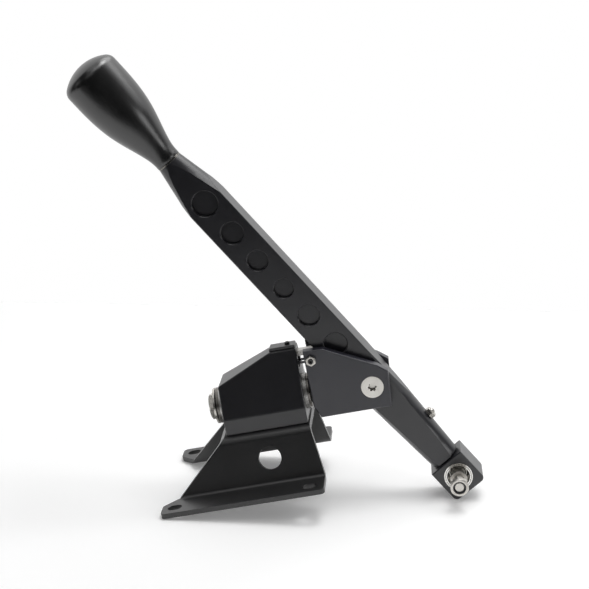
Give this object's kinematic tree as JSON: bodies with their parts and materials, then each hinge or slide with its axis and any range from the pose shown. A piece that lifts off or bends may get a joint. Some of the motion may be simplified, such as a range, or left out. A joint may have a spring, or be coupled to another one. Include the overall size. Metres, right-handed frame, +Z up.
{
  "type": "short shifter",
  "caption": "Floor-mounted gear lever on a bent-plate bridge: it pitches in a fork, rolls with it against a centring spring, and moves a linkage through a spherical bearing.",
  "frame": {"origin": "centre of the four floor slots, on the undersides of the feet", "axes": "+X to the rear, along the roll shaft; +Y to the side away from the camera; +Z up, square to the feet"},
  "size_m": [0.2505, 0.129, 0.3859],
  "materials": {
    "bracket_black": "satin black powder coat",
    "housing_black": "satin black anodised",
    "fork_black": "satin black anodised",
    "lever_black": "satin black anodised",
    "knob_black": "satin black",
    "nickel_steel": "bright nickel plate",
    "dark_steel": "black oxide",
    "spring_steel": "oiled spring wire",
    "bush_steel": "plain, with a lined bore",
    "tongue_steel": "ground steel",
    "bearing_steel": "polished bearing steel",
    "nylon": "dark nylon"
  },
  "bodies": {
    "base": {"base_bracket": "bracket_black", "housing": "housing_black", "housing_screws": "dark_steel", "lid": "housing_black", "lid_screw": "dark_steel", "gate_tongue": "tongue_steel", "anchor_pin": "dark_steel", "front_bush": "bush_steel", "rear_bush": "bush_steel", "centring_spring": "spring_steel"},
    "fork": {"fork": "fork_black", "roll_shaft": "nickel_steel", "front_ring": "nickel_steel", "front_shim": "dark_steel", "front_washer": "nickel_steel", "rear_washer": "nickel_steel", "rear_spacer": "dark_steel", "spring_spool": "bush_steel", "shaft_screw": "dark_steel", "spring_post": "dark_steel", "stop_screws": "dark_steel", "stop_nuts": "nickel_steel", "pivot_sleeve": "bearing_steel", "pivot_screws": "nickel_steel"},
    "lever": {"lever": "lever_black", "lever_bushes": "bush_steel", "knob": "knob_black", "knob_collar": "nickel_steel", "throw_screw": "nickel_steel", "throw_nut": "nickel_steel"},
    "block": {"bearing_block": "lever_black", "bearing_race": "bearing_steel"},
    "ball": {"bearing_ball": "bearing_steel"},
    "link": {"link_bolt": "nickel_steel", "link_spacers": "nickel_steel", "link_washers": "nickel_steel", "link_nut": "nickel_steel", "nut_insert": "nylon"}
  },
  "joints": [
    {"name": "fork_roll", "type": "hinge", "parent": "base", "child": "fork", "pos_m": [0, 0, 0.06], "axis": [1, 0, 0], "range_deg": [-5.5, 5.5], "stiffness_Nm_per_rad": 5, "deforming": ["centring_spring"]},
    {"name": "lever_pitch", "type": "hinge", "parent": "fork", "child": "lever", "pos_m": [0.1098, 0, 0.06], "axis": [0, 1, 0], "range_deg": [0, 38]},
    {"name": "throw_adjust", "type": "slide", "parent": "lever", "child": "block", "axis": [0.515, 0, -0.8572], "range_m": [0, 0.014]},
    {"name": "ball_tilt", "type": "hinge", "parent": "block", "child": "ball", "pos_m": [0.16125, 0, -0.02563], "axis": [-0.515, 0, 0.8572], "range_deg": [-10, 10]},
    {"name": "bolt_turn", "type": "hinge", "parent": "ball", "child": "link", "pos_m": [0.16125, 0, -0.02563], "axis": [0, 1, 0], "continuous": true}
  ]
}
